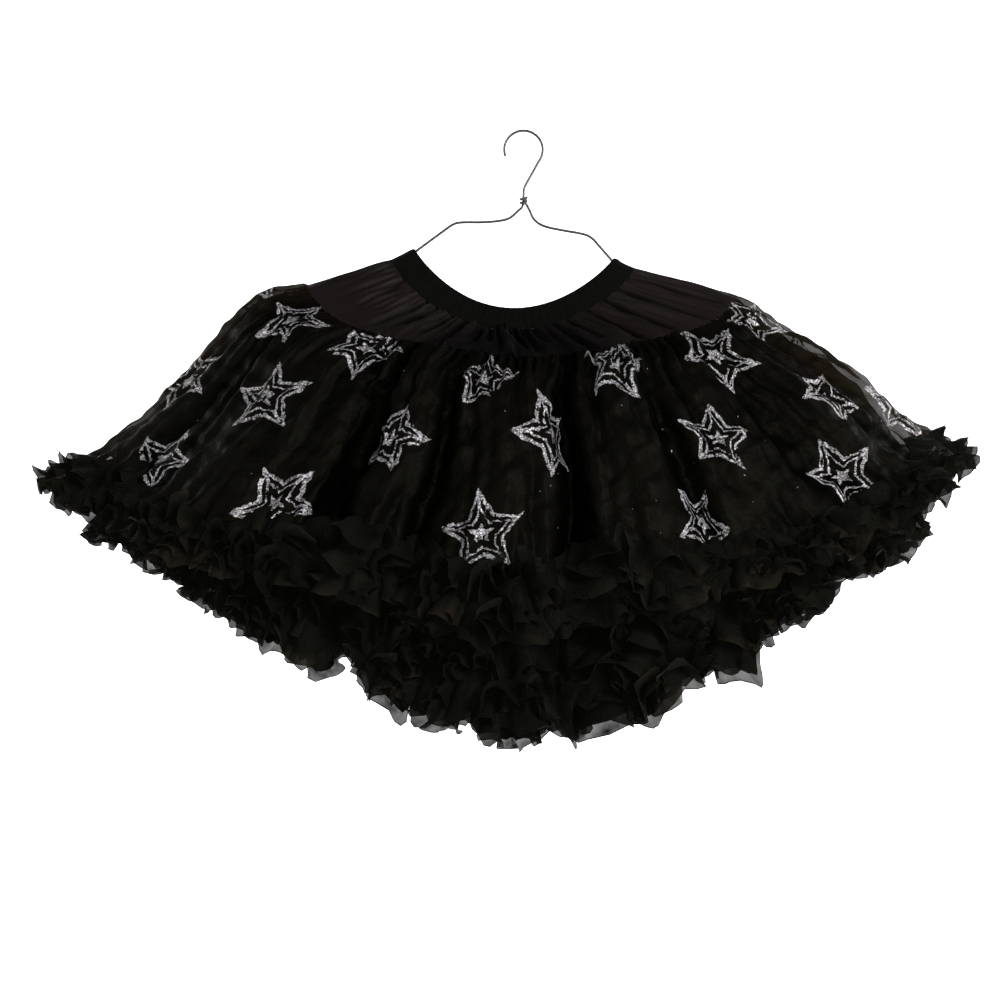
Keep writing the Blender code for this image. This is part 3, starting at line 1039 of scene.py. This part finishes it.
class TUTU_OT_yoke(bpy.types.Operator):
    """Satin yoke, gathered into the waistband"""

    bl_idname = "tutu.yoke"
    bl_label = "Yoke"

    def execute(self, context):
        stretch = outer_stretch(YOKE_COLUMNS, BAND_FOOT, YOKE_FOOT, YOKE_ROWS)
        angles, skin, normal, around, down = stretch
        creases = YOKE_CREASES + mirrored(YOKE_CREASES, 0.9)
        move = crease_moves(creases, angles, down)
        gathers = small_waves(YOKE_GATHERS, around, down)
        move = move + gathers * (1 - down) ** 1.1 * np.clip(down * 9, 0.2, 1)
        move = move + small_waves(YOKE_SLACK, around, down) * np.sin(math.pi * down)
        foot_gathers = small_waves(YOKE_FOOT_GATHERS, around, down)
        move = move + foot_gathers * np.clip(down * 5 - 4, 0, 1)
        centre = np.abs(np.sin(angles)) ** 8
        move = move * (1 + 0.7 * centre)
        grid = skin + normal * move[:, :, None]
        # Painted shade: darker in the troughs, and at the centre front and back, more towards
        # the foot.
        painted_shade = trough_shade(move, YOKE_FULL_SHADE_DEPTH) + YOKE_SHADE * (0.6 + down) * centre
        finish = satin_finish(settings().satin_colour)
        piece = cloth_object("yoke_cloth", [grid], [np.clip(painted_shade, 0, 1)], finish)
        dress(piece, "yoke")
        return {"FINISHED"}


OUTER_TIER_COLUMNS = 900
OUTER_TIER_ROWS = 96
OUTER_TIER_GUIDE_ROWS = 120
UNDER_TIER_COLUMNS = 480
UNDER_TIER_ROWS = 46
# Troughs this deep get full painted shade.
TIER_FULL_SHADE_DEPTH = 10 * MM
TIER_GATHER_REACH = 0.42
TIER_PUCKER_START = 0.62
SEAM_TUCK = 0.05
SEAM_TUCK_SHARE = 0.022
SEAM_DROP = 1.2 * MM
UNDER_TUCK = 0.06
UNDER_GAP = 4.0 * MM
SIDE_FILL_LEFT = 0.95
SIDE_FILL_RIGHT = 0.70


def outer_tier_skin(angles, steps):
    """The outer tier's surface, down to its own hem line."""
    top = YOKE_FOOT - SEAM_TUCK
    whole = layer_grid("outer", angles, top, HEM, OUTER_TIER_GUIDE_ROWS)
    foot = (TIER_FOOT + hem_shift(angles) - top) / (HEM - top)
    down = np.linspace(0, 1, steps + 1)[:, None]
    skin = np.array([line_on(whole, foot * share) for share in down[:, 0]])
    return skin, fold_depths(OUTER_RINGS, angles, top + (HEM - top) * foot * down)


def under_tier_skin(angles, steps):
    """The under tier's surface, which fills out the outer tier at the sides."""
    skin = layer_grid("under", angles, -UNDER_TUCK, UNDER_FOOT, steps)
    cover = layer_grid("outer", angles, YOKE_FOOT, TIER_FOOT, steps)
    normal, _ = grid_normals(cover)
    cover = cover - normal * UNDER_GAP
    down = np.linspace(0, 1, steps + 1)[:, None]
    right = SIDE_FILL_RIGHT * (1 + 0.7 * (down - 0.3))
    right = np.clip(right, SIDE_FILL_RIGHT, SIDE_FILL_LEFT)
    side = np.where(np.cos(angles) < 0, SIDE_FILL_LEFT, right)
    fill = np.clip(down * 6, 0, 1) * np.clip(1.75 - 1.15 * down, 0, 1)
    weight = side * np.abs(np.cos(angles)) ** 1.5 * fill
    depths = fold_depths(UNDER_RINGS, angles, UNDER_FOOT * down + 0 * angles)
    return skin + (cover - skin) * weight[:, :, None], depths


def tier_grids(skin, depths, angles, creases, seed):
    """A sheer tier with its big folds and creases, plain and with its gathers."""
    normal, _ = grid_normals(skin)
    around, down = grid_places(len(angles), len(skin) - 1)
    move = crease_moves(creases, angles, down)
    slack = small_waves(TIER_SLACK, around, down, seed)
    move = move + slack * np.sin(math.pi * np.clip(down * 0.9 + 0.05, 0, 1))
    plain = skin + normal * move[:, :, None]
    gathers = small_waves(TIER_GATHERS, around, down, seed)
    fine = gathers * np.clip(1 - down / TIER_GATHER_REACH, 0, 1) ** 1.2
    pucker = small_waves(TIER_PUCKER, around, down, seed)
    near_foot = np.clip((down - TIER_PUCKER_START) / (1 - TIER_PUCKER_START), 0, 1)
    fine = fine + pucker * near_foot ** 1.6
    fine = fine + small_waves(TIER_RIPPLE, around, down, seed) * np.clip(down * 4, 0.2, 1)
    tuck = 1 - np.clip(down / SEAM_TUCK_SHARE, 0, 1)
    fine = fine * (1 - tuck) - SEAM_DROP * tuck
    soft = crumples(TIER_CRUMPLES, plain, seed) * np.clip(down * 4, 0, 1)[:, :, None]
    # Painted shade: darker in the troughs of the folds, creases and gathers.
    painted_shade = trough_shade(depths + 2.2 * move + fine, TIER_FULL_SHADE_DEPTH)
    return plain, plain + soft + normal * fine[:, :, None], down, painted_shade


class TUTU_OT_tiers(bpy.types.Operator):
    """Sheer outer tier with glitter stars, and the plain under tier inside it"""

    bl_idname = "tutu.tiers"
    bl_label = "Sheer tiers"

    def execute(self, context):
        values = settings()
        creases = TIER_CREASES + mirrored(TIER_CREASES, 0.85)
        angles = column_angles(OUTER_TIER_COLUMNS)
        skin, depths = outer_tier_skin(angles, OUTER_TIER_ROWS)
        plain, grid, down, painted_shade = tier_grids(skin, depths, angles, creases, 31)
        stars = star_map(plain, angles, down, values.star_radius)
        finish = organza_finish(
            "organza_black", values.organza_colour, values.organza_opacity,
            values.glitter_colour,
        )
        piece = cloth_object("outer_tier_cloth", [grid], [painted_shade], finish, stars)
        dress(piece, "outer_tier")
        angles = column_angles(UNDER_TIER_COLUMNS)
        skin, depths = under_tier_skin(angles, UNDER_TIER_ROWS)
        _, under, _, painted_shade = tier_grids(skin, depths, angles, creases, 41)
        finish = organza_finish("under_organza_black", values.organza_colour, 1.0)
        piece = cloth_object("under_tier_cloth", [under], [painted_shade], finish)
        dress(piece, "under_tier")
        return {"FINISHED"}


STRIP_COLUMNS = 12
STRIP_ROWS = 10
STRIP_GUIDE_ROWS = 24
PLAIN_FLARE = 2
SEAM_ROOM = 0.12
CREST_LEAN = math.radians(48)
SIDE_CALM = 0.6
SIDE_SHORT = 0.12
SHIFT_SHORT = 0.72
WAVE_SIZE = 0.85
LEAST_SIZE, MOST_SIZE = 0.2, 1.5

# How uneven a strip is along its length: what its seed adds to the strip's own, the fewest
# and most changes round the skirt, and how much. WANDER is the seam's place and RAGGED the
# length, as shares; DRIFT the waves' places, FLARING and CURLING the angles, in radians;
# SIZES the waves' size, as a share.
Uneven = namedtuple("Uneven", "seed fewest most share")

WANDER = Uneven(50, 9, 40, 0.10)
RAGGED = Uneven(500, 30, 110, 0.10)
DRIFT = Uneven(0, 6, 44, 1.1)
SIZES = Uneven(100, 9, 60, 0.40)
FLARING = Uneven(600, 8, 50, 0.30)
CURLING = Uneven(700, 14, 70, math.radians(62))


def hem_trim(angles):
    """How long the under ruffle is at each column, as a share of its usual length."""
    length = np.zeros_like(angles)
    for trim in HEM_TRIMS:
        length = length + trim.share * bump_round(angles, trim.angle, trim.half_width)
    return 1 + length


def strip_fill(angles):
    """Strips are a little shorter at the sides, where they are seen edge on."""
    return 1 - SIDE_SHORT * np.abs(np.cos(angles)) ** 6


def ruffle_strip(layer, top, foot, strip, wave):
    """One row of a ruffle: gathered at its seam, curling and looping at its free edge."""

    def uneven(kind):
        seed = strip.seed + kind.seed
        return kind.share * soft_noise(around, nothing, seed, (kind.fewest, kind.most), 0.0)

    count = strip.waves * STRIP_COLUMNS
    angles = column_angles(count)
    height = foot - top
    skin = layer_grid(layer, angles, top - SEAM_ROOM * height, foot, STRIP_GUIDE_ROWS)
    normals, alongs = grid_normals(skin)
    around = np.arange(count) / count
    nothing = np.zeros(count)
    full = 0.0 if strip.flare <= PLAIN_FLARE else 1.0
    wander = uneven(WANDER) * full
    shift = hem_shift(angles) if layer == "outer" else nothing
    start = shift + strip.start * (1 - shift) + wander
    start = (start + SEAM_ROOM) / (1 + SEAM_ROOM)
    base = line_on(skin, start)
    outward_way = line_on(normals, start)
    along = line_on(alongs, start)
    along /= np.linalg.norm(along, axis=1, keepdims=True)
    outward_way /= np.linalg.norm(outward_way, axis=1, keepdims=True)
    downward = np.cross(along, outward_way)
    downward *= np.sign(-downward[:, 2:3])
    local = np.linalg.norm(np.diff(skin, axis=0), axis=2).sum(axis=0)
    ragged = 1 + uneven(RAGGED)
    reach = local * strip.reach * ragged * (1 - SHIFT_SHORT * shift) * strip_fill(angles)
    if layer == "under":
        reach = reach * hem_trim(angles)
    calm = 1 - SIDE_CALM * np.abs(np.cos(angles)) ** 6

    phase = TURN * strip.waves * around
    phase = phase + uneven(DRIFT)
    size = np.clip(WAVE_SIZE + uneven(SIZES), LEAST_SIZE, MOST_SIZE) * strip.swing
    flare = math.radians(strip.flare) * calm + calm * full * uneven(FLARING)
    curl = calm * full * uneven(CURLING)
    lean = CREST_LEAN * calm * (0.35 + 0.65 * full) * np.sin(phase) * size

    rows = [base]
    point = base.copy()
    for step in range(STRIP_ROWS):
        share = (step + 0.5) / STRIP_ROWS
        turn = flare + (curl + lean) * share
        heading = downward * np.cos(turn)[:, None] + outward_way * np.sin(turn)[:, None]
        point = point + heading * (reach / STRIP_ROWS)[:, None]
        rows.append(point.copy())
    grid = np.array(rows)
    down = np.linspace(0, 1, STRIP_ROWS + 1)[:, None]
    side = outward_way * np.cos(flare)[:, None] - downward * np.sin(flare)[:, None]
    swing = np.sin(phase)[None, :] * size * wave * (0.12 + 0.60 * down ** 0.8)
    gathers = small_waves(STRIP_GATHERS, around[None, :], down, strip.seed)
    swing = swing + gathers * (1 - down)
    loop = -np.sin(2 * phase + 0.4)[None, :] * size * wave * 0.45 * down ** 0.8
    grid = grid + side[None] * swing[:, :, None] + along[None] * loop[:, :, None]
    soft = crumples(STRIP_CRUMPLES, grid, strip.seed)
    # Painted shade: darker inside each wave, near the seam and all over the plain backing
    # rows.
    inner = (0.5 - 0.5 * np.sin(phase))[None, :] * np.clip(size, 0.4, 1)
    painted_shade = inner * (1 - 0.45 * down) + 0.35 * (1 - down) ** 2 + 0.5 * (1 - full)
    moved = grid + soft * (0.15 + 0.85 * down[:, :, None] ** 0.7)
    return moved, np.clip(painted_shade, 0, 1)


def make_ruffle(name, layer, top, foot, strips, wave, material):
    """All rows of one ruffle as one piece."""
    made = [ruffle_strip(layer, top, foot, strip, wave) for strip in strips]
    grids, painted_shades = zip(*made)
    return cloth_object(name, grids, painted_shades, material)


class TUTU_OT_ruffles(bpy.types.Operator):
    """Chiffon ruffles at the hems of the outer and the under tier"""

    bl_idname = "tutu.ruffles"
    bl_label = "Ruffles"

    def execute(self, context):
        values = settings()
        finish = chiffon_finish(values.chiffon_colour, values.chiffon_opacity)
        wave = values.ruffle_wave
        outer = make_ruffle(
            "outer_ruffle_cloth", "outer", TIER_FOOT, HEM, OUTER_STRIPS, wave, finish
        )
        dress(outer, "outer_ruffle")
        under = make_ruffle(
            "under_ruffle_cloth", "under", UNDER_FOOT, UNDER_HEM, UNDER_STRIPS, wave, finish
        )
        dress(under, "under_ruffle")
        return {"FINISHED"}


# The hanger's sizes in metres, its bends in millimetres and their sweeps in degrees.
WIRE_RADIUS = 1.25 * MM
HOOK_RADIUS = 17.0 * MM
SHANK_TOP = -54.0 * MM
SHANK_FOOT = -71.0 * MM
TWIST_FOOT = -69.0 * MM
TWIST_TURNS = 2
TWIST_PITCH = 3.4 * MM
TWIST_RADIUS = 2.9 * MM
TWIST_STEPS = 32
HOOK_SWEEP = (200, -38)
HOOK_STEPS = 36
BAR_BENDS = ((-146.0, 139, 270), (112.0, -90, 36))
BAR_BEND_HEIGHT = -176.0
BAR_BEND_RADIUS = 10.0
BEND_STEPS = 10
ROUNDINGS = 3
WIRE_STEP = 9.0 * MM
WIRE_STRAIGHT = 26.0 * MM
# Places along each arm from the neck to the band's corner, as (x, z) in millimetres.
LEFT_ARM = (
    (-5.4, -75), (-10.5, -80.2), (-17, -83.8), (-36, -86), (-61, -85.6), (-68, -88.2),
    (-102.5, -113.6),
)
RIGHT_ARM = (
    (6, -75), (9.2, -83), (18, -89.6), (36.9, -93.5), (58.6, -97), (65.5, -101),
    (84.2, -122.4),
)


def arc(x, z, radius, start, end, count):
    """Points on an arc in the hanger's plane, in metres, angles in degrees."""
    turns = np.radians(np.linspace(start, end, count + 1))
    flat = np.zeros(count + 1)
    return np.stack((x + radius * np.cos(turns), flat, z + radius * np.sin(turns)), axis=1)


def in_plane(places):
    """Points in the hanger's plane in metres, from (x, z) in millimetres."""
    return np.array([(x * MM, 0.0, z * MM) for x, z in places])


def stepped(points):
    """The same line with extra points on its straight stretches, which keep their place."""
    dense = [points[0]]
    for first, last in zip(points[:-1], points[1:]):
        length = np.linalg.norm(last - first)
        count = math.ceil(length / WIRE_STEP) if length > WIRE_STRAIGHT else 1
        dense.extend(first + (last - first) * (k + 1) / count for k in range(count))
    return np.array(dense)


def rounded(points, times):
    """The line with its corners cut again and again, which bends it like wire."""
    for _ in range(times):
        near = points[:-1] * 0.75 + points[1:] * 0.25
        far = points[:-1] * 0.25 + points[1:] * 0.75
        inner = np.stack((near, far), axis=1).reshape(-1, 3)
        points = np.concatenate((points[:1], inner[1:-1], points[-1:]))
    return points


def wire_route():
    """Hook, shank, left arm, lower bar, right arm and the twist round the shank."""
    hook = arc(0.0, -HOOK_RADIUS, HOOK_RADIUS + WIRE_RADIUS, *HOOK_SWEEP, HOOK_STEPS)
    shank = np.array([(0.0, 0.0, SHANK_TOP), (0.0, 0.0, SHANK_FOOT)])
    bends = [
        arc(x * MM, BAR_BEND_HEIGHT * MM, BAR_BEND_RADIUS * MM, start, end, BEND_STEPS)
        for x, start, end in BAR_BENDS
    ]
    body = np.concatenate((
        hook, shank, in_plane(LEFT_ARM), bends[0], bends[1], in_plane(RIGHT_ARM)[::-1]
    ))
    body = rounded(stepped(body), ROUNDINGS)
    turns = np.linspace(0, TWIST_TURNS, TWIST_TURNS * TWIST_STEPS + 1)
    twist = np.stack((
        TWIST_RADIUS * np.cos(TURN * turns),
        -TWIST_RADIUS * np.sin(TURN * turns),
        TWIST_FOOT + TWIST_PITCH * turns,
    ), axis=1)
    return np.concatenate((body, twist))


class TUTU_OT_hanger(bpy.types.Operator):
    """Hanger of one bent steel wire, finer than its solid and on the same route"""

    bl_idname = "tutu.hanger"
    bl_label = "Hanger"

    def execute(self, context):
        bpy.ops.object.select_all(action="DESELECT")
        bpy.ops.curve.primitive_nurbs_path_add(location=(0, 0, 0))
        wire = context.object
        wire.name = "hanger_wire"
        curve = wire.data
        curve.splines.clear()
        route = wire_route()
        spline = curve.splines.new("POLY")
        spline.points.add(len(route) - 1)
        for point, place in zip(spline.points, route):
            point.co = (*place, 1.0)
        curve.dimensions = "3D"
        curve.bevel_depth = WIRE_RADIUS
        curve.bevel_resolution = 3
        curve.use_fill_caps = True
        bpy.ops.object.convert(target="MESH")
        bpy.ops.object.shade_smooth_by_angle(angle=math.radians(50))
        wire.data.materials.append(wire_finish(settings().wire_colour))
        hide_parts("hanger")
        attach(wire, "root")
        return {"FINISHED"}


class TUTU_OT_stage(bpy.types.Operator):
    """Round white room, soft lights and the camera"""

    bl_idname = "tutu.stage"
    bl_label = "Stage"

    def execute(self, context):
        add_room()
        add_lights()
        add_camera()
        return {"FINISHED"}


def add_room():
    """A round white room with a coved floor, which the camera alone sees."""
    bpy.ops.object.select_all(action="DESELECT")
    bpy.ops.mesh.primitive_cylinder_add(
        vertices=96, radius=ROOM_RADIUS, depth=ROOM_HEIGHT, location=(0, 0, ROOM_MIDDLE)
    )
    room = bpy.context.object
    room.name = "room"
    bpy.ops.object.transform_apply(location=True)
    bpy.ops.object.mode_set(mode="EDIT")
    bpy.ops.mesh.select_all(action="SELECT")
    bpy.ops.mesh.flip_normals()
    bpy.ops.object.mode_set(mode="OBJECT")
    cove = room.modifiers.new("cove", "BEVEL")
    cove.width = ROOM_COVE
    cove.segments = 10
    cove.limit_method = "ANGLE"
    cove.angle_limit = math.radians(45)
    bpy.ops.object.modifier_apply(modifier="cove")
    bpy.ops.object.shade_smooth()
    for ray in ("diffuse", "glossy", "transmission", "shadow"):
        setattr(room, "visible_" + ray, False)
    paper = Finish("pale_paper")
    place = paper.add("TexCoord").outputs["Object"]
    grain = paper.noise(place, 40.0, 2.0)
    paper.use("Base Color", paper.blend(grain, (0.93, 0.93, 0.93, 1), (0.96, 0.96, 0.96, 1)))
    paper.set(Roughness=0.9, Specular_IOR_Level=0.1)
    paper.set(Emission_Color=(1, 1, 1, 1), Emission_Strength=ROOM_GLOW)
    room.data.materials.append(paper.material)


def add_area(lamp):
    """A square soft light turned towards its point, unseen by the camera."""
    data = bpy.data.lights.new(lamp.name, "AREA")
    data.shape = "SQUARE"
    data.size = lamp.size
    data.energy = lamp.power
    light = bpy.data.objects.new(lamp.name, data)
    light.visible_camera = False
    light.location = lamp.place
    x, y, z = np.subtract(lamp.aim, lamp.place)
    turn = math.atan2(y, x) - TURN / 4
    tilt = math.atan2(z, math.hypot(x, y)) + TURN / 4
    light.rotation_euler = (tilt, 0.0, turn)
    bpy.context.scene.collection.objects.link(light)


def add_lights():
    """Even light that fades upwards, and the lamps."""
    world = bpy.data.worlds.new("white_room")
    world.use_nodes = True
    tree = world.node_tree
    place = tree.nodes.new("ShaderNodeTexCoord")
    split = tree.nodes.new("ShaderNodeSeparateXYZ")
    height = tree.nodes.new("ShaderNodeMapRange")
    ramp = tree.nodes.new("ShaderNodeValToRGB")
    tree.links.new(place.outputs["Generated"], split.inputs[0])
    tree.links.new(split.outputs["Z"], height.inputs["Value"])
    height.inputs["From Min"].default_value = -1.0
    tree.links.new(height.outputs["Result"], ramp.inputs["Fac"])
    while len(ramp.color_ramp.elements) < len(ROOM_LIGHT):
        ramp.color_ramp.elements.new(0.5)
    for element, (level, strength) in zip(ramp.color_ramp.elements, ROOM_LIGHT):
        element.position = (level + 1) / 2
        element.color = (strength, strength, strength, 1)
    tree.links.new(ramp.outputs["Color"], tree.nodes["Background"].inputs["Color"])
    bpy.context.scene.world = world
    for lamp in LAMPS:
        add_area(lamp)
    bpy.context.scene.view_settings.view_transform = "Standard"


def add_camera():
    """Level camera at the photograph's distance and height."""
    data = bpy.data.cameras.new("camera")
    data.sensor_width = SENSOR_WIDTH
    data.lens = SENSOR_WIDTH * CAMERA_DISTANCE / FRAME_WIDTH
    camera = bpy.data.objects.new("camera", data)
    camera.location = (CAMERA_X, -CAMERA_DISTANCE, CAMERA_Z)
    camera.rotation_euler = (TURN / 4, 0.0, 0.0)
    bpy.context.scene.collection.objects.link(camera)
    bpy.context.scene.camera = camera


PIECES = (
    TUTU_OT_waistband,
    TUTU_OT_yoke,
    TUTU_OT_tiers,
    TUTU_OT_ruffles,
    TUTU_OT_hanger,
    TUTU_OT_stage,
)


class TUTU_PT_panel(bpy.types.Panel):
    """Lists the settings and the pieces"""

    bl_idname = "TUTU_PT_panel"
    bl_label = "Tutu Skirt"
    bl_space_type = "VIEW_3D"
    bl_region_type = "UI"
    bl_category = "Tutu Skirt"

    def draw(self, context):
        values = context.scene.tutu_skirt
        for key in SkirtSettings.__annotations__:
            self.layout.prop(values, key)
        for piece in PIECES:
            self.layout.operator(piece.bl_idname)


def register():
    bpy.utils.register_class(SkirtSettings)
    bpy.types.Scene.tutu_skirt = bpy.props.PointerProperty(type=SkirtSettings)
    for piece in PIECES:
        bpy.utils.register_class(piece)
    bpy.utils.register_class(TUTU_PT_panel)


def unregister():
    bpy.utils.unregister_class(TUTU_PT_panel)
    for piece in reversed(PIECES):
        bpy.utils.unregister_class(piece)
    del bpy.types.Scene.tutu_skirt
    bpy.utils.unregister_class(SkirtSettings)


def main():
    register()
    bpy.ops.tutu.waistband()
    bpy.ops.tutu.yoke()
    bpy.ops.tutu.tiers()
    bpy.ops.tutu.ruffles()
    bpy.ops.tutu.hanger()
    bpy.ops.tutu.stage()


if __name__ == "__main__":
    main()
